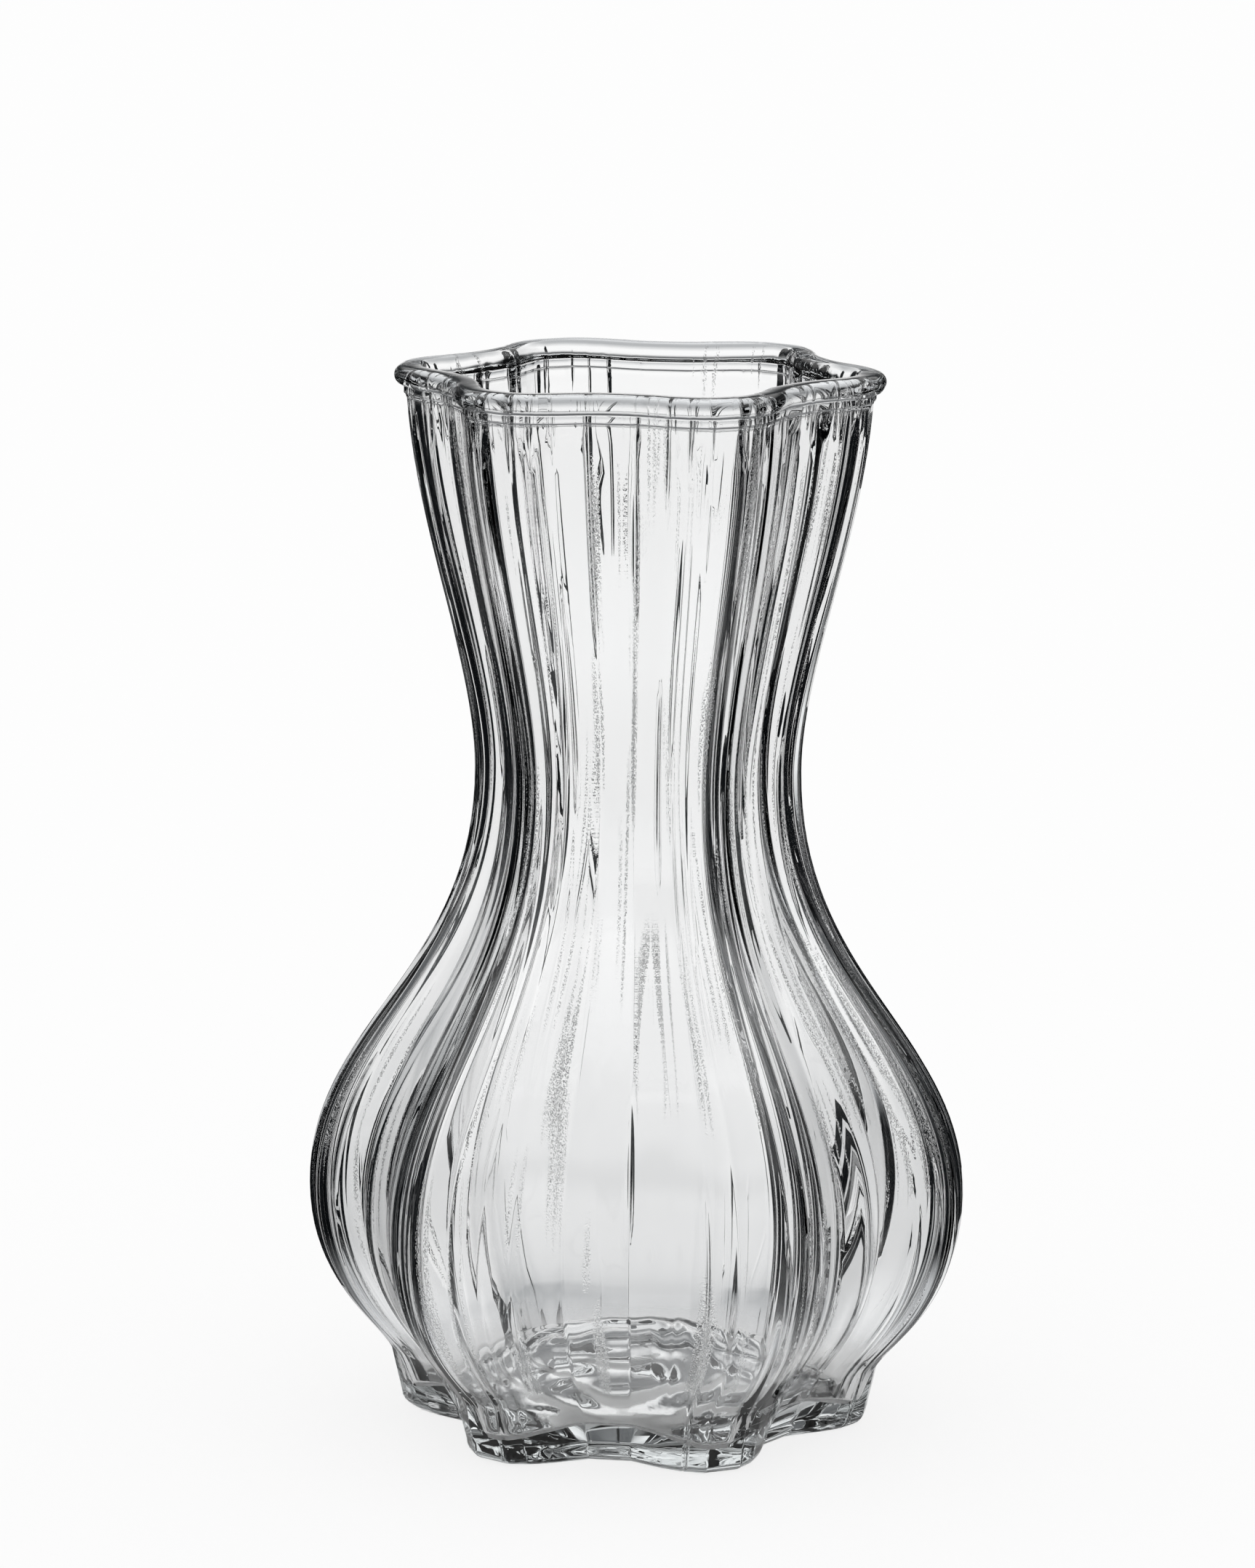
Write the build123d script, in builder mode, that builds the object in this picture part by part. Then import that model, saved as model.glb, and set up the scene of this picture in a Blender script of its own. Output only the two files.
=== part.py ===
from build123d import *

import os
from math import cos, radians, sin

# A six-lobed glass vase with a round belly, a narrow waist and a flaring neck. Narrow upright panels over
# each lobe and wider ones between the lobes run unbroken from the foot to the lip. The wall is equally
# thick all round, so the inside repeats the panels. The glass is divided where the mould that shapes it
# divides: foot plate, bowl, neck, collar ring and lip ring.

# Heights in millimetres, stacked from the table up
FOOT_HEIGHT = 12.0
BOWL_HEIGHT = 119.0
NECK_HEIGHT = 72.4
COLLAR_HEIGHT = 2.5
BEAD_HEIGHT = 4.1

# Radii over the tips of the lobes
FOOT_RADIUS = 46.6
BOWL_BASE_RADIUS = 48.6
BELLY_RADIUS = 64.9
WAIST_RADIUS = 32.0
MOUTH_RADIUS = 45.2
COLLAR_PROUD = 0.6
BEAD_PROUD = 2.6

# The upright curve of the wall: the belly's rise over the foot, and how far each end holds its course
BELLY_RISE = 34.0
BOWL_BASE_LEAN = 31.0
BOWL_BASE_REACH = 7.1
BELLY_REACH_DOWN = 20.4
BELLY_REACH_UP = 32.7
WAIST_REACH_DOWN = 42.0
WAIST_REACH_UP = 19.7
MOUTH_LEAN = 4.0
MOUTH_REACH = 26.4

# The lobed outline: the valley's radius as a share of the tip's, deeper at the foot's lower edge, and the
# angles of the edges between panels, from a lobe's tip. The panel between the last edges of two lobes lies
# across the valley.
LOBES = 6
VALLEY_RATIO = 0.82
FOOT_VALLEY_RATIO = 0.74
PANEL_EDGES = (4.5, 9.5, 14.7, 23.4)

# Thickness of the glass, the crowned floor, and the edges that are rounded
WALL = 4.0
FLOOR_CROWN_HEIGHT = 16.0
FLOOR_CROWN_RADIUS = 86.0
FLOOR_CORNER_INSET = 3.0
FLOOR_CORNER_HEIGHT = 4.0
FOOT_EDGE = 3.2
LIP_EDGE = 2.0
RECESS_RADIUS = 29.0
RECESS_DEPTH = 4.0

# Sections per curve
BOWL_SECTIONS = 10
NECK_SECTIONS = 6
EDGE_SECTIONS = 3
BEAD_SECTIONS = 6

waist_z = FOOT_HEIGHT + BOWL_HEIGHT
collar_z = waist_z + NECK_HEIGHT
bead_z = collar_z + COLLAR_HEIGHT
lobe_pitch = 360 / LOBES
edge_angles = [-angle for angle in reversed(PANEL_EDGES)] + list(PANEL_EDGES)


def polar(radius, angle):
    return (radius * cos(radians(angle)), radius * sin(radians(angle)))


def lobe_share(angle, valley_ratio):
    """Radius as a share of the tip's, at an angle in degrees from a lobe tip."""
    middle = (1 + valley_ratio) / 2
    swing = (1 - valley_ratio) / 2
    return middle + swing * cos(radians(angle * LOBES))


def panelled_outline(tip_radius, valley_ratio=VALLEY_RATIO):
    """Corners of the outline whose tip panels lie at the given radius."""
    tip_edge = PANEL_EDGES[0]
    corner_radius = tip_radius / (lobe_share(tip_edge, valley_ratio) * cos(radians(tip_edge)))
    corners = []
    for lobe in range(LOBES):
        for angle in edge_angles:
            corners.append(polar(corner_radius * lobe_share(angle, valley_ratio), lobe * lobe_pitch + angle))
    return corners


# The wall's upright curve, from the foot over the belly to the waist, and on to the mouth
base_lean = radians(BOWL_BASE_LEAN)
mouth_lean = radians(MOUTH_LEAN)
belly_z = FOOT_HEIGHT + BELLY_RISE
with BuildLine(Plane.XZ) as bowl_curve:
    Bezier(
        (BOWL_BASE_RADIUS, FOOT_HEIGHT),
        (BOWL_BASE_RADIUS + BOWL_BASE_REACH * sin(base_lean), FOOT_HEIGHT + BOWL_BASE_REACH * cos(base_lean)),
        (BELLY_RADIUS, belly_z - BELLY_REACH_DOWN),
        (BELLY_RADIUS, belly_z),
    )
    Bezier(
        (BELLY_RADIUS, belly_z),
        (BELLY_RADIUS, belly_z + BELLY_REACH_UP),
        (WAIST_RADIUS, waist_z - WAIST_REACH_DOWN),
        (WAIST_RADIUS, waist_z),
    )
with BuildLine(Plane.XZ) as neck_curve:
    Bezier(
        (WAIST_RADIUS, waist_z),
        (WAIST_RADIUS, waist_z + WAIST_REACH_UP),
        (MOUTH_RADIUS - MOUTH_REACH * sin(mouth_lean), collar_z - MOUTH_REACH * cos(mouth_lean)),
        (MOUTH_RADIUS, collar_z),
    )

# The foot's hollow: the lower end of the inside, closed by a floor that crowns in the middle
with BuildPart() as foot_hollow:
    with BuildSketch(Plane.XY.offset(FLOOR_CORNER_HEIGHT)):
        Polygon(*panelled_outline(BOWL_BASE_RADIUS, FOOT_VALLEY_RATIO), align=None)
        offset(amount=-WALL - FLOOR_CORNER_INSET, kind=Kind.INTERSECTION, mode=Mode.REPLACE)
    for height in (FOOT_HEIGHT, FLOOR_CROWN_HEIGHT + WALL):
        with BuildSketch(Plane.XY.offset(height)):
            Polygon(*panelled_outline(BOWL_BASE_RADIUS), align=None)
            offset(amount=-WALL, kind=Kind.INTERSECTION, mode=Mode.REPLACE)
    loft(ruled=True)
    with Locations((0, 0, FLOOR_CROWN_HEIGHT - FLOOR_CROWN_RADIUS)):
        Sphere(FLOOR_CROWN_RADIUS, mode=Mode.SUBTRACT)

# Foot: a thick slab with a rounded lower edge, pushed up in the middle so that it stands on a ring
push_up_radius = (RECESS_RADIUS**2 + RECESS_DEPTH**2) / (2 * RECESS_DEPTH)
with BuildPart() as foot:
    for step in range(EDGE_SECTIONS + 1):
        turn = radians(90 * step / EDGE_SECTIONS)
        with BuildSketch(Plane.XY.offset(FOOT_EDGE * (1 - cos(turn)))):
            edge_radius = FOOT_RADIUS - FOOT_EDGE * (1 - sin(turn))
            Polygon(*panelled_outline(edge_radius, FOOT_VALLEY_RATIO), align=None)
    with BuildSketch(Plane.XY.offset(FOOT_HEIGHT)):
        Polygon(*panelled_outline(BOWL_BASE_RADIUS), align=None)
    loft(ruled=True)
    with BuildSketch(Plane.XY.offset(FOOT_HEIGHT)):
        Circle(RECESS_RADIUS)
    extrude(amount=FLOOR_CROWN_HEIGHT - FOOT_HEIGHT)
    add(foot_hollow.part, mode=Mode.SUBTRACT)
    with Locations((0, 0, RECESS_DEPTH - push_up_radius)):
        Sphere(push_up_radius, mode=Mode.SUBTRACT)
foot.part.label = "foot"

# Bowl: the lobed belly, drawn in to the waist
with BuildPart() as bowl:
    bowl_stations = [bowl_curve.wire() @ (step / BOWL_SECTIONS) for step in range(BOWL_SECTIONS + 1)]
    for station in bowl_stations:
        with BuildSketch(Plane.XY.offset(station.Z)):
            Polygon(*panelled_outline(station.X), align=None)
    loft()
    for station in bowl_stations:
        with BuildSketch(Plane.XY.offset(station.Z)):
            Polygon(*panelled_outline(station.X), align=None)
            offset(amount=-WALL, kind=Kind.INTERSECTION, mode=Mode.REPLACE)
    loft(mode=Mode.SUBTRACT)
bowl.part.label = "bowl"

# Neck: the same panels, flaring from the waist to the mouth
with BuildPart() as neck:
    neck_stations = [neck_curve.wire() @ (step / NECK_SECTIONS) for step in range(NECK_SECTIONS + 1)]
    for station in neck_stations:
        with BuildSketch(Plane.XY.offset(station.Z)):
            Polygon(*panelled_outline(station.X), align=None)
    loft()
    for station in neck_stations:
        with BuildSketch(Plane.XY.offset(station.Z)):
            Polygon(*panelled_outline(station.X), align=None)
            offset(amount=-WALL, kind=Kind.INTERSECTION, mode=Mode.REPLACE)
    loft(mode=Mode.SUBTRACT)
neck.part.label = "neck"

# Collar: a plain band that stands a little proud under the lip
with BuildPart() as collar:
    with BuildSketch(Plane.XY.offset(collar_z)):
        Polygon(*panelled_outline(MOUTH_RADIUS + COLLAR_PROUD), align=None)
    extrude(amount=COLLAR_HEIGHT)
    with BuildSketch(Plane.XY.offset(collar_z)):
        Polygon(*panelled_outline(MOUTH_RADIUS), align=None)
        offset(amount=-WALL, kind=Kind.INTERSECTION, mode=Mode.REPLACE)
    extrude(amount=COLLAR_HEIGHT, mode=Mode.SUBTRACT)
collar.part.label = "collar"

# Rim bead: the rolled lip, half round outside and eased at its inner edge
bead_round = BEAD_HEIGHT / 2
with BuildPart() as rim_bead:
    for step in range(BEAD_SECTIONS + 1):
        turn = radians(180 * step / BEAD_SECTIONS - 90)
        with BuildSketch(Plane.XY.offset(bead_z + bead_round * (1 + sin(turn)))):
            Polygon(*panelled_outline(MOUTH_RADIUS + BEAD_PROUD - bead_round * (1 - cos(turn))), align=None)
    loft(ruled=True)
    for step in range(EDGE_SECTIONS + 1):
        turn = radians(90 * step / EDGE_SECTIONS)
        with BuildSketch(Plane.XY.offset(bead_z + BEAD_HEIGHT * sin(turn))):
            Polygon(*panelled_outline(MOUTH_RADIUS), align=None)
            offset(amount=LIP_EDGE * (1 - cos(turn)) - WALL, kind=Kind.INTERSECTION, mode=Mode.REPLACE)
    loft(ruled=True, mode=Mode.SUBTRACT)
rim_bead.part.label = "rim_bead"

os.makedirs("parts", exist_ok=True)
for piece in (foot, bowl, neck, collar, rim_bead):
    export_step(piece.part, f"parts/{piece.part.label}.step")
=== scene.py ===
from math import atan2, cos, pi, radians, sin

import bmesh
import bpy
from mathutils import Matrix, Vector, noise
from mathutils.geometry import interpolate_bezier


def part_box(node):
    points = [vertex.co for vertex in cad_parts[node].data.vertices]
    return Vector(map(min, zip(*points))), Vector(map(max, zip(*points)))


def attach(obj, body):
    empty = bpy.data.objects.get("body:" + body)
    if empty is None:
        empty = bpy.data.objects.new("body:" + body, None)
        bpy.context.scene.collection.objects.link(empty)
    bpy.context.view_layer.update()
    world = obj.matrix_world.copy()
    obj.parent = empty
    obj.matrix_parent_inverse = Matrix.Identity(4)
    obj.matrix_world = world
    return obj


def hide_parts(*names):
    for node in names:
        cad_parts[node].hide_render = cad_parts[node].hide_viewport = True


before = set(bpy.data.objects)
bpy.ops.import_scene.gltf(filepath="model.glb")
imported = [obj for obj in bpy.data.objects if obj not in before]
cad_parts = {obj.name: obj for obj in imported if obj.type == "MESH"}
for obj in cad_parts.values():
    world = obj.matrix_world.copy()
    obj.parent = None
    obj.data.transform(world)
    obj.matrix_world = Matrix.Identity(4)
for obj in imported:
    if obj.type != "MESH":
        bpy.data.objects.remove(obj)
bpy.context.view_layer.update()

# Vase glass
# One moulding of soda-lime glass, pressed in a six-lobed mould, so that foot, bowl, neck, collar and rolled
# lip run into each other with no joint. The mesh is one ring, drawn out from the middle of the underside,
# up the outside, over the lip, down the inside and in to the middle of the floor.
mm = 0.001
foot_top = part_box("bowl")[0].z
waist_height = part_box("bowl")[1].z
collar_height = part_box("neck")[1].z
bead_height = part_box("collar")[1].z
lip_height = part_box("rim_bead")[1].z
base_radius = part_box("foot")[1].x
mouth_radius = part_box("neck")[1].x
collar_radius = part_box("collar")[1].x
bead_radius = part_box("rim_bead")[1].x
belly_radius = 64.9 * mm
waist_radius = 32 * mm
belly_height = foot_top + 34 * mm
foot_radius = 46.6 * mm
foot_edge = 3.2 * mm
push_up_radius = 29 * mm
push_up_height = 4 * mm
wall = 4 * mm
lip_edge = 2 * mm
floor_corner_height = 4 * mm
floor_corner_inset = 3 * mm
floor_crown_height = 16 * mm
floor_crown_radius = 86 * mm

# The mould's outline: angles of the edges between panels, from a lobe's tip, and the valley's radius as a
# share of the tip's, which is smallest at the foot
lobes = 6
lobe_pitch = 360 / lobes
panel_edges = (4.5, 9.5, 14.7, 23.4)
edge_angles = [-edge for edge in reversed(panel_edges)] + list(panel_edges)
wall_valley = 0.82
foot_valley = 0.74


def mould_corners(height):
    """Corners of the mould's outline at a height, where the tip panels lie at radius 1."""
    rise = min(max((height - foot_edge) / (foot_top - foot_edge), 0), 1)
    valley = foot_valley + (wall_valley - foot_valley) * rise
    shares = [(1 + valley) / 2 + (1 - valley) / 2 * cos(radians(angle * lobes)) for angle in edge_angles]
    tip_panel = max(shares) * cos(radians(panel_edges[0]))
    corners = []
    for lobe in range(lobes):
        for angle, share in zip(edge_angles, shares):
            turn = radians(lobe * lobe_pitch + angle)
            corners.append(Vector((cos(turn), sin(turn))) * share / tip_panel)
    return corners


def with_neighbours(items):
    return zip(items[-1:] + items[:-1], items, items[1:] + items[:1])


# The edges between panels aren't quite true: they wander, their rounding varies, and in stretches they are
# creased. Each of these drifts by itself.
edge_wander = 0.2 * mm
edge_wander_length = 40 * mm
inward_damping = 3
edge_soft = 0.5 * mm
soft_variation = 0.7
longest_arm = 0.45
crease_gain = 3
crease_threshold = 0.2
neck_ring_creases = 1.2
neck_ring_fade = 10 * mm
drift_step = 3.7
inward_seed = 7
soft_seed = 13
crease_seed = 29
round_shares = (0, 0.25, 0.5, 0.75, 1)
panel_shares = (0.12, 0.5, 0.88)


def drift(index, height, seed):
    """A slow, even wander between about -1 and 1 along a mould edge's height."""
    return noise.noise(Vector((index * drift_step, height / edge_wander_length, seed)))


def in_neck_ring(height):
    """1 inside the mould's neck ring, which forms collar and lip, fading to 0 a little way below it."""
    return min(max(1 + (height - collar_height) / neck_ring_fade, 0), 1)


def outline(radius, height, inset=0, soft=edge_soft, crease=0):
    """Points round the outline whose tip panels lie at radius, drawn in by inset, with softened edges.

    A crease runs along the edges, in stretches and all through the neck ring, where the skin of the glass
    folded as it was pressed."""
    corners = []
    for index, (before, corner, after) in enumerate(with_neighbours(mould_corners(height))):
        arriving = (corner - before).normalized()
        leaving = (after - corner).normalized()
        along = (arriving + leaving).normalized()
        inward = along.orthogonal()
        slip = along * drift(index, height, inset / mm)
        slip += inward * drift(index, height, inset / mm + inward_seed) / inward_damping
        miter = inset / arriving.orthogonal().dot(inward)
        corners.append(corner * radius + inward * miter + slip * edge_wander)
    rounds = []
    for index, (before, corner, after) in enumerate(with_neighbours(corners)):
        spread = soft * (1 + soft_variation * drift(index, height, inset / mm + soft_seed))
        arm = min(spread, longest_arm * min((before - corner).length, (after - corner).length))
        first = corner + (before - corner).normalized() * arm
        last = corner + (after - corner).normalized() * arm
        fold = (last - first).normalized().orthogonal() * crease
        creased = crease_gain * drift(index, height, crease_seed) - crease_threshold
        fold *= min(max(creased + neck_ring_creases * in_neck_ring(height), 0), 1)
        edge_round = []
        for share in round_shares:
            bend = first.lerp(corner, share).lerp(corner.lerp(last, share), share)
            edge_round.append(bend + fold * (1 - abs(2 * share - 1)))
        rounds.append(edge_round)
    points = []
    for edge_round, next_round in zip(rounds, rounds[1:] + rounds[:1]):
        points += edge_round
        points += [edge_round[-1].lerp(next_round[0], share) for share in panel_shares]
    return [point.to_3d() + Vector((0, 0, height)) for point in points]


ring_ways = [point.xy.normalized().to_3d() for point in outline(belly_radius, 0)]
vase = bmesh.new()
place = vase.verts.layers.int.new("place")
start = bmesh.ops.create_circle(vase, cap_ends=True, cap_tris=True, segments=len(ring_ways), radius=mm)
start_ring = [v for v in start["verts"] if v.co.length > mm / 2]
start_ring.sort(key=lambda v: atan2(v.co.y, v.co.x) % (2 * pi))
for index, vert in enumerate(start_ring):
    vert[place] = index
    vert.co = ring_ways[index] * mm
bmesh.ops.translate(vase, vec=(0, 0, push_up_height), verts=vase.verts[:])
ring = [e for e in vase.edges if e.is_boundary]


def draw_ring(points):
    """Draws the open ring of glass on to new points, each vertex keeping its place in the ring."""
    global ring
    made = bmesh.ops.extrude_edge_only(vase, edges=ring)["geom"]
    verts = {v for v in made if isinstance(v, bmesh.types.BMVert)}
    ring = [e for e in made if isinstance(e, bmesh.types.BMEdge) and set(e.verts) <= verts]
    for v in verts:
        v.co = points[v[place]]


# underside: the push-up, and the ring it stands on
push_up_curve = (push_up_radius**2 + push_up_height**2) / (2 * push_up_height)
push_up_rings = 10
standing_rings = 4
for step in range(1, push_up_rings + 1):
    reach = push_up_radius * step / push_up_rings
    drop = push_up_curve - (push_up_curve**2 - reach**2) ** 0.5
    draw_ring([way * reach + Vector((0, 0, push_up_height - drop)) for way in ring_ways])
inner_ring = [way * push_up_radius for way in ring_ways]
outer_ring = outline(foot_radius - foot_edge, 0)
for step in range(1, standing_rings + 1):
    draw_ring([inner.lerp(outer, step / standing_rings) for inner, outer in zip(inner_ring, outer_ring)])

# foot: rounded lower edge and flat-panelled side
foot_soft = 0.35 * mm
crease_depth = 0.35 * mm
foot_edge_rings = 5
foot_side_rings = 5
for step in range(1, foot_edge_rings + 1):
    turn = pi / 2 * step / foot_edge_rings
    height = foot_edge * (1 - cos(turn))
    radius = foot_radius - foot_edge * (1 - sin(turn))
    draw_ring(outline(radius, height, soft=foot_soft, crease=crease_depth))
for step in range(1, foot_side_rings + 1):
    part = step / foot_side_rings
    height = foot_edge + (foot_top - foot_edge) * part
    radius = foot_radius + (base_radius - foot_radius) * part
    draw_ring(outline(radius, height, soft=foot_soft, crease=crease_depth))

# wall: the belly, the waist and the flaring neck
base_lean = radians(31)
base_reach = 7.1 * mm
belly_reach_down = 20.4 * mm
belly_reach_up = 32.7 * mm
waist_reach_down = 42 * mm
waist_reach_up = 19.7 * mm
mouth_lean = radians(4)
mouth_reach = 26.4 * mm
spans = (
    (
        (base_radius, foot_top),
        (base_radius + base_reach * sin(base_lean), foot_top + base_reach * cos(base_lean)),
        (belly_radius, belly_height - belly_reach_down),
        (belly_radius, belly_height),
        20,
    ),
    (
        (belly_radius, belly_height),
        (belly_radius, belly_height + belly_reach_up),
        (waist_radius, waist_height - waist_reach_down),
        (waist_radius, waist_height),
        34,
    ),
    (
        (waist_radius, waist_height),
        (waist_radius, waist_height + waist_reach_up),
        (mouth_radius - mouth_reach * sin(mouth_lean), collar_height - mouth_reach * cos(mouth_lean)),
        (mouth_radius, collar_height),
        28,
    ),
)
wall_points = []
for *handles, count in spans:
    wall_points += interpolate_bezier(*(Vector((r, z, 0)) for r, z in handles), count)[1:]
for point in wall_points:
    draw_ring(outline(point.x, point.y, crease=crease_depth))

# collar, which rises gently and then by a small step, and rolled lip
step_depth = 0.2 * mm
for radius, height in (
    (collar_radius - 1.5 * step_depth, collar_height + 4 * step_depth),
    (collar_radius - step_depth, collar_height + 5 * step_depth),
    (collar_radius, collar_height + 5.5 * step_depth),
    (collar_radius, collar_height + 7 * step_depth),
    (collar_radius, bead_height - step_depth),
    (collar_radius - step_depth, bead_height),
):
    draw_ring(outline(radius, height, crease=crease_depth))
bead_round = (lip_height - bead_height) / 2
lip_soft = 3.5 * mm
inside_crease_soft = 0.8 * mm
lip_rings = 16
lip_inner_rings = 6
for step in range(1, lip_rings + 1):
    turn = pi * step / lip_rings - pi / 2
    height = bead_height + bead_round * (1 + sin(turn))
    draw_ring(outline(bead_radius - bead_round * (1 - cos(turn)), height, soft=lip_soft))
for step in range(lip_inner_rings + 1):
    turn = pi / 2 * step / lip_inner_rings
    height = lip_height - (lip_height - bead_height) * (1 - cos(turn))
    inset = wall - lip_edge * (1 - sin(turn))
    soft = lip_soft + (inside_crease_soft - lip_soft) * sin(turn)
    draw_ring(outline(mouth_radius, height, inset, soft, -crease_depth * sin(turn)))

# inside: the panels again, down to the crowned floor, which they meet lower in the lobes
inside_soft = 3 * mm
draw_ring(outline(mouth_radius, (bead_height + collar_height) / 2, wall, inside_crease_soft, -crease_depth))
for point in reversed(wall_points):
    soft = inside_soft + (inside_crease_soft - inside_soft) * in_neck_ring(point.y)
    draw_ring(outline(point.x, point.y, wall, soft, -crease_depth * in_neck_ring(point.y)))


def floor_height(point):
    """Height of the crowned floor where a point stands over it."""
    crown = (floor_crown_radius**2 - point.xy.length_squared) ** 0.5
    return floor_crown_height - floor_crown_radius + crown


high_edge = outline(base_radius, foot_top, wall, inside_soft)
low_edge = outline(base_radius, floor_corner_height, wall + floor_corner_inset, inside_soft)
slope_steps = 100
floor_corner_rings = 5
floor_edge = []
for high, low in zip(high_edge, low_edge):
    slope = [high.lerp(low, step / slope_steps) for step in range(slope_steps + 1)]
    floor_edge.append(next(point for point in slope if point.z <= floor_height(point)))
for step in range(1, floor_corner_rings + 1):
    draw_ring([high.lerp(low, step / floor_corner_rings) for high, low in zip(high_edge, floor_edge)])
wrinkle_depth = 0.3 * mm
wrinkle_width = 11 * mm
wrinkle_bend = 6
floor_rings = 32
for step in range(1, floor_rings):
    draw_ring([point * (1 - step / floor_rings) for point in floor_edge])
    for v in {v for e in ring for v in e.verts}:
        bend = noise.noise(v.co / (2 * wrinkle_width))
        phase = 2 * pi * v.co.xy.length / wrinkle_width + wrinkle_bend * bend
        v.co.z = floor_height(v.co) + wrinkle_depth * sin(phase)
floor_middle = bmesh.ops.edgeloop_fill(vase, edges=ring)["faces"]
bmesh.ops.poke(vase, faces=floor_middle)
bmesh.ops.recalc_face_normals(vase, faces=vase.faces[:])
vase.verts.layers.int.remove(place)

# ripples: the skin of the glass chills a little unevenly, in long upright swells
ripple_depth = 0.04 * mm
ripple_width = 9 * mm
ripple_height = 60 * mm
vase.normal_update()
for v in vase.verts:
    if v.co.z > foot_edge:
        swell = noise.noise((v.co.x / ripple_width, v.co.y / ripple_width, v.co.z / ripple_height))
        v.co += v.normal * swell * ripple_depth
for face in vase.faces:
    face.smooth = True
vase_mesh = bpy.data.meshes.new("vase_glass")
vase.to_mesh(vase_mesh)
vase.free()
vase_glass = bpy.data.objects.new("vase_glass", vase_mesh)
bpy.context.scene.collection.objects.link(vase_glass)


def linear(hex_colour):
    """An sRGB hex colour as the linear RGBA that a shader takes."""
    channels = [int(hex_colour[i : i + 2], 16) / 255 for i in (1, 3, 5)]
    return [c / 12.92 if c <= 0.04045 else ((c + 0.055) / 1.055) ** 2.4 for c in channels] + [1]


def add_node(tree, kind, settings={}, links={}):
    """Adds a node, with its properties or socket values set and its inputs linked."""
    node = tree.nodes.new(kind)
    for name, value in settings.items():
        if isinstance(name, int) or name in node.inputs:
            node.inputs[name].default_value = value
        else:
            setattr(node, name, value)
    for name, source in links.items():
        tree.links.new(source, node.inputs[name])
    return node


# Pressed soda-lime glass: fire-polished and clear, a little cool where it is thick. Where hot glass first
# touched the cold mould it has upright streaks of fine chill marks, which show as dark stipple.
streak_width = 3.3 * mm
streak_length = 55 * mm
grain_width = 0.25 * mm
grain_length = 0.4 * mm
grain_depth = 0.1 * mm
streak_range = (0.65, 0.75)
grain_range = (0.5, 0.75)
chill_fade = 10 * mm
clear_glass = bpy.data.materials.new("pressed_soda_lime_glass")
clear_glass.use_nodes = True
tree = clear_glass.node_tree
tree.nodes.clear()
where = add_node(tree, "ShaderNodeTexCoord")
level = add_node(
    tree, "ShaderNodeVectorMath", {"operation": "MULTIPLY", 1: (1, 1, 0)}, {0: where.outputs["Object"]}
)
round_axis = add_node(tree, "ShaderNodeVectorMath", {"operation": "NORMALIZE"}, {0: level.outputs[0]})
up_wall = add_node(
    tree, "ShaderNodeMapping", {"Scale": (0, 0, 1 / streak_length)}, {"Vector": where.outputs["Object"]}
)
streaks_round = belly_radius / streak_width
streak_way = add_node(
    tree,
    "ShaderNodeVectorMath",
    {"operation": "MULTIPLY_ADD", 1: (streaks_round, streaks_round, 0)},
    {0: round_axis.outputs[0], 2: up_wall.outputs[0]},
)
streaks = add_node(
    tree, "ShaderNodeTexNoise", {"Scale": 1.0, "Detail": 1.0}, {"Vector": streak_way.outputs[0]}
)
streak = add_node(
    tree,
    "ShaderNodeMapRange",
    {"From Min": streak_range[0], "From Max": streak_range[1]},
    {"Value": streaks.outputs["Fac"]},
)
grain_way = add_node(
    tree,
    "ShaderNodeMapping",
    {"Scale": (1 / grain_width, 1 / grain_width, 1 / grain_length)},
    {"Vector": where.outputs["Object"]},
)
grains = add_node(
    tree, "ShaderNodeTexNoise", {"Scale": 1.0, "Detail": 1.0}, {"Vector": grain_way.outputs[0]}
)
grain = add_node(
    tree,
    "ShaderNodeMapRange",
    {"From Min": grain_range[0], "From Max": grain_range[1]},
    {"Value": grains.outputs["Fac"]},
)
upright = add_node(tree, "ShaderNodeSeparateXYZ", {}, {0: where.outputs["Object"]})
on_wall = add_node(
    tree,
    "ShaderNodeMapRange",
    {"From Min": floor_crown_height, "From Max": floor_crown_height + chill_fade},
    {"Value": upright.outputs["Z"]},
)
wall_streak = add_node(
    tree, "ShaderNodeMath", {"operation": "MULTIPLY"}, {0: streak.outputs[0], 1: on_wall.outputs[0]}
)
stipple = add_node(
    tree, "ShaderNodeMath", {"operation": "MULTIPLY"}, {0: wall_streak.outputs[0], 1: grain.outputs[0]}
)
chilled = add_node(
    tree, "ShaderNodeBump", {"Strength": 1.0, "Distance": grain_depth}, {"Height": stipple.outputs[0]}
)
shader = add_node(
    tree,
    "ShaderNodeBsdfPrincipled",
    {
        "Base Color": linear("#FFFFFF"),
        "Transmission Weight": 1.0,
        "Roughness": 0.0,
        "IOR": 1.5,
    },
    {"Normal": chilled.outputs["Normal"]},
)
tint = add_node(tree, "ShaderNodeVolumeAbsorption", {"Color": linear("#DCE8EA"), "Density": 5.0})
add_node(
    tree,
    "ShaderNodeOutputMaterial",
    {},
    {"Surface": shader.outputs["BSDF"], "Volume": tint.outputs["Volume"]},
)
vase_mesh.materials.append(clear_glass)
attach(vase_glass, "root")
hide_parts("foot", "bowl", "neck", "collar", "rim_bead")

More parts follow.
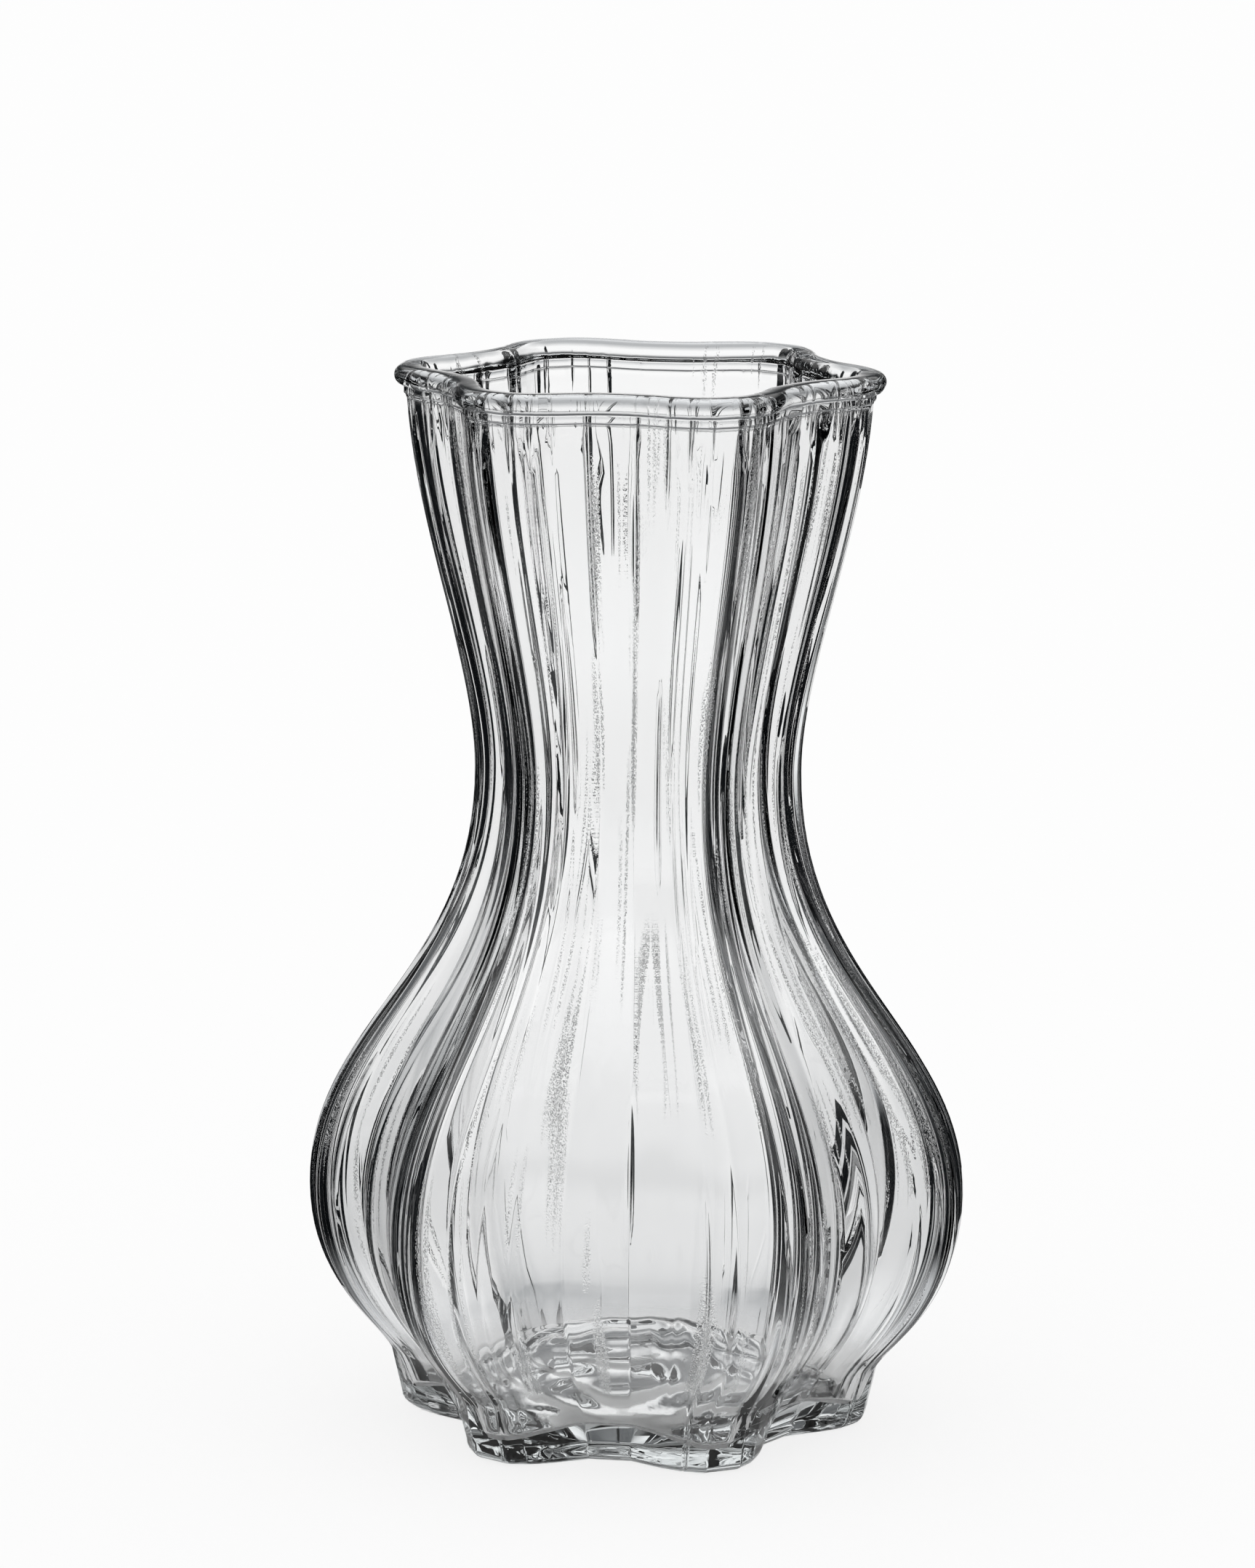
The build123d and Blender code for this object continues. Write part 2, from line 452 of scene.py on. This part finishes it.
# Floor
# White paper under and far behind the vase. To the eye it is the same plain white all round, with a trace
# of the vase's soft shadow. Through the glass it shows only close to the foot.
paper_size = 60
paper_gap = 0.2 * mm
near_paper = (46 * mm, 75 * mm)
paper_whitening = 0.8
paper_sheet = bmesh.new()
bmesh.ops.create_grid(paper_sheet, x_segments=1, y_segments=1, size=paper_size / 2)
bmesh.ops.translate(paper_sheet, vec=(0, 0, -paper_gap), verts=paper_sheet.verts[:])
paper_mesh = bpy.data.meshes.new("studio_floor")
paper_sheet.to_mesh(paper_mesh)
paper_sheet.free()
studio_floor = bpy.data.objects.new("studio_floor", paper_mesh)
bpy.context.scene.collection.objects.link(studio_floor)
white_paper = bpy.data.materials.new("white_paper")
white_paper.use_nodes = True
tree = white_paper.node_tree
tree.nodes.clear()
seen = add_node(tree, "ShaderNodeLightPath")
whitened = add_node(
    tree,
    "ShaderNodeMath",
    {"operation": "MULTIPLY", 1: paper_whitening},
    {0: seen.outputs["Is Camera Ray"]},
)
where = add_node(tree, "ShaderNodeTexCoord")
from_foot = add_node(tree, "ShaderNodeVectorMath", {"operation": "LENGTH"}, {0: where.outputs["Object"]})
far_off = add_node(
    tree,
    "ShaderNodeMapRange",
    {"interpolation_type": "SMOOTHSTEP", "From Min": near_paper[0], "From Max": near_paper[1]},
    {"Value": from_foot.outputs["Value"]},
)
through = add_node(
    tree,
    "ShaderNodeMath",
    {"operation": "MAXIMUM"},
    {0: seen.outputs["Is Transmission Ray"], 1: seen.outputs["Is Glossy Ray"]},
)
unseen = add_node(
    tree, "ShaderNodeMath", {"operation": "MULTIPLY"}, {0: through.outputs[0], 1: far_off.outputs[0]}
)
nothing = add_node(tree, "ShaderNodeBsdfTransparent")
paper = add_node(tree, "ShaderNodeBsdfDiffuse", {"Color": linear("#F6F6F6")})
paper_white = add_node(tree, "ShaderNodeEmission", {"Color": linear("#FFFFFF"), "Strength": 1.0})
paper_face = add_node(
    tree,
    "ShaderNodeMixShader",
    {},
    {0: whitened.outputs[0], 1: paper.outputs["BSDF"], 2: paper_white.outputs["Emission"]},
)
paper_or_tent = add_node(
    tree,
    "ShaderNodeMixShader",
    {},
    {0: unseen.outputs[0], 1: paper_face.outputs[0], 2: nothing.outputs[0]},
)
add_node(tree, "ShaderNodeOutputMaterial", {}, {"Surface": paper_or_tent.outputs[0]})
paper_mesh.materials.append(white_paper)

# Light tent
# A white tent hung with upright black strips, which clear glass needs to show its form: two wide ones
# beside the gap behind the vase, and narrow ones evenly round the rest. Reflections in the glass or on it
# show that gap alone, between black. Above and below the strips is cloth. The cloth is grey in a band
# below the horizon, which is painted shade standing in for the paper in the vase's shade, and dark grey
# in a band a little above the horizon. Only the glass shows the tent.
tent_radius = 8
white_cloth = linear("#FFFFFF")
black_strip = linear("#101214")

# Angles are in degrees round the axis, and heights are the sine of the elevation
gap_behind = (86, 110)
strip_pitch = 22
strip_width = 5
first_strip = 147
last_strip = 411
wide_strip_ends = (71, 125)
strips = [(wide_strip_ends[0], gap_behind[0]), (gap_behind[1], wide_strip_ends[1])]
for turn in range(first_strip, last_strip + 1, strip_pitch):
    strips.append((turn % 360, turn % 360 + strip_width))
strip_tops = (0.06, 0.26)
strip_feet = (-0.4, -0.55)
# Tone of the cloth by height: the grey band below the horizon is painted shade, standing in for the paper
# in the vase's shade, and a dark grey band lies a little above the horizon
cloth_and_shade_by_height = (
    (-0.75, linear("#F0F2F4")),
    (-0.5, linear("#B4B6B8")),
    (-0.4, linear("#B4B6B8")),
    (-0.18, white_cloth),
    (0.04, white_cloth),
    (0.2, linear("#585A5C")),
    (0.34, linear("#585A5C")),
    (0.46, white_cloth),
)
tent = bmesh.new()
bmesh.ops.create_uvsphere(tent, u_segments=48, v_segments=24, radius=tent_radius)
bmesh.ops.reverse_faces(tent, faces=tent.faces[:])
tent_mesh = bpy.data.meshes.new("light_tent")
tent.to_mesh(tent_mesh)
tent.free()
light_tent = bpy.data.objects.new("light_tent", tent_mesh)
bpy.context.scene.collection.objects.link(light_tent)
tent_cloth = bpy.data.materials.new("tent_cloth")
tent_cloth.use_nodes = True
tree = tent_cloth.node_tree
tree.nodes.clear()


def add_ramp(source, stops, interpolation):
    """Adds a colour ramp through the given stops of position and colour."""
    node = add_node(tree, "ShaderNodeValToRGB", {}, {"Fac": source})
    ramp = node.color_ramp
    ramp.interpolation = interpolation
    ramp.elements.remove(ramp.elements[1])
    ramp.elements[0].position, ramp.elements[0].color = stops[0]
    for position, colour in stops[1:]:
        ramp.elements.new(position).color = colour
    return node


where = add_node(tree, "ShaderNodeTexCoord")
way = add_node(tree, "ShaderNodeVectorMath", {"operation": "NORMALIZE"}, {0: where.outputs["Object"]})
upright = add_node(tree, "ShaderNodeSeparateXYZ", {}, {0: way.outputs[0]})
way_up = add_node(
    tree, "ShaderNodeMapRange", {"From Min": -1.0, "From Max": 1.0}, {"Value": upright.outputs["Z"]}
)
# The cloth's tone by height, with its band of painted shade below the horizon
cloth_and_shade = add_ramp(way_up.outputs[0], [((z + 1) / 2, tone) for z, tone in cloth_and_shade_by_height], "LINEAR")
way_round = add_node(
    tree, "ShaderNodeTexGradient", {"gradient_type": "RADIAL"}, {"Vector": where.outputs["Object"]}
)
half_turn = 0.5
strip_edges = [(0, white_cloth)]
for strip_start, strip_end in strips:
    strip_edges.append(((strip_start / 360 + half_turn) % 1, black_strip))
    strip_edges.append(((strip_end / 360 + half_turn) % 1, white_cloth))
seen_through = add_ramp(way_round.outputs["Fac"], strip_edges, "CONSTANT")
gap_start, gap_end = (edge / 360 + half_turn for edge in gap_behind)
gap_edges = [(0, black_strip), (gap_start, white_cloth), (gap_end, black_strip)]
seen_bounced = add_ramp(way_round.outputs["Fac"], gap_edges, "CONSTANT")
seen = add_node(tree, "ShaderNodeLightPath")
bounced = add_node(
    tree, "ShaderNodeMath", {"operation": "GREATER_THAN", 1: 0.5}, {0: seen.outputs["Glossy Depth"]}
)
hung = add_node(
    tree,
    "ShaderNodeMix",
    {"data_type": "RGBA"},
    {0: bounced.outputs[0], 6: seen_through.outputs["Color"], 7: seen_bounced.outputs["Color"]},
)
above = add_node(
    tree,
    "ShaderNodeMapRange",
    {"interpolation_type": "SMOOTHSTEP", "From Min": strip_tops[0], "From Max": strip_tops[1]},
    {"Value": upright.outputs["Z"]},
)
below = add_node(
    tree,
    "ShaderNodeMapRange",
    {"interpolation_type": "SMOOTHSTEP", "From Min": strip_feet[0], "From Max": strip_feet[1]},
    {"Value": upright.outputs["Z"]},
)
bare = add_node(
    tree, "ShaderNodeMath", {"operation": "MAXIMUM"}, {0: above.outputs[0], 1: below.outputs[0]}
)
strip_cover = add_node(
    tree,
    "ShaderNodeMix",
    {"data_type": "RGBA", 7: white_cloth},
    {0: bare.outputs[0], 6: hung.outputs[2]},
)
tent_face = add_node(
    tree,
    "ShaderNodeMix",
    {"data_type": "RGBA", "blend_type": "MULTIPLY", 0: 1.0},
    {6: cloth_and_shade.outputs["Color"], 7: strip_cover.outputs[2]},
)
tent_light = add_node(tree, "ShaderNodeEmission", {"Strength": 1.0}, {"Color": tent_face.outputs[2]})
add_node(tree, "ShaderNodeOutputMaterial", {}, {"Surface": tent_light.outputs["Emission"]})
tent_cloth.cycles.emission_sampling = "NONE"
tent_mesh.materials.append(tent_cloth)
light_tent.visible_camera = False
light_tent.visible_diffuse = False
light_tent.visible_shadow = False

# Studio light
# An even white room, which lights the paper and leaves a soft shadow under the foot.
world = bpy.data.worlds.new("white_room")
bpy.context.scene.world = world
world.use_nodes = True
tree = world.node_tree
tree.nodes.clear()
room = add_node(tree, "ShaderNodeBackground", {"Color": linear("#FFFFFF"), "Strength": 1.0})
add_node(tree, "ShaderNodeOutputWorld", {}, {"Surface": room.outputs["Background"]})

# Camera
# A long lens that looks down a little from above the lip, and stands a little to the right of the vase's
# front. Its values were fitted to the photograph's outline of the vase.
camera_turn = radians(7.84)
camera_rise = radians(12.44)
camera_roll = 0.0054
camera_distance = 1.272
picture_height = 2156
aim_shift = (13.2, 156.2)
focal_pixels = 8886
sensor_width = 36
target = Vector((0, 0, lip_height / 2))
back = Vector((sin(camera_turn) * cos(camera_rise), -cos(camera_turn) * cos(camera_rise), sin(camera_rise)))
camera_data = bpy.data.cameras.new("camera")
camera = bpy.data.objects.new("camera", camera_data)
bpy.context.scene.collection.objects.link(camera)
camera.location = target + back * camera_distance
look = (-back).to_track_quat("-Z", "Y").to_matrix() @ Matrix.Rotation(camera_roll, 3, "Z")
camera.rotation_euler = look.to_euler()
camera_data.sensor_width = sensor_width
camera_data.lens = focal_pixels / picture_height * sensor_width
camera_data.shift_x = -aim_shift[0] / picture_height
camera_data.shift_y = aim_shift[1] / picture_height
bpy.context.scene.camera = camera
bpy.context.scene.view_settings.view_transform = "Standard"
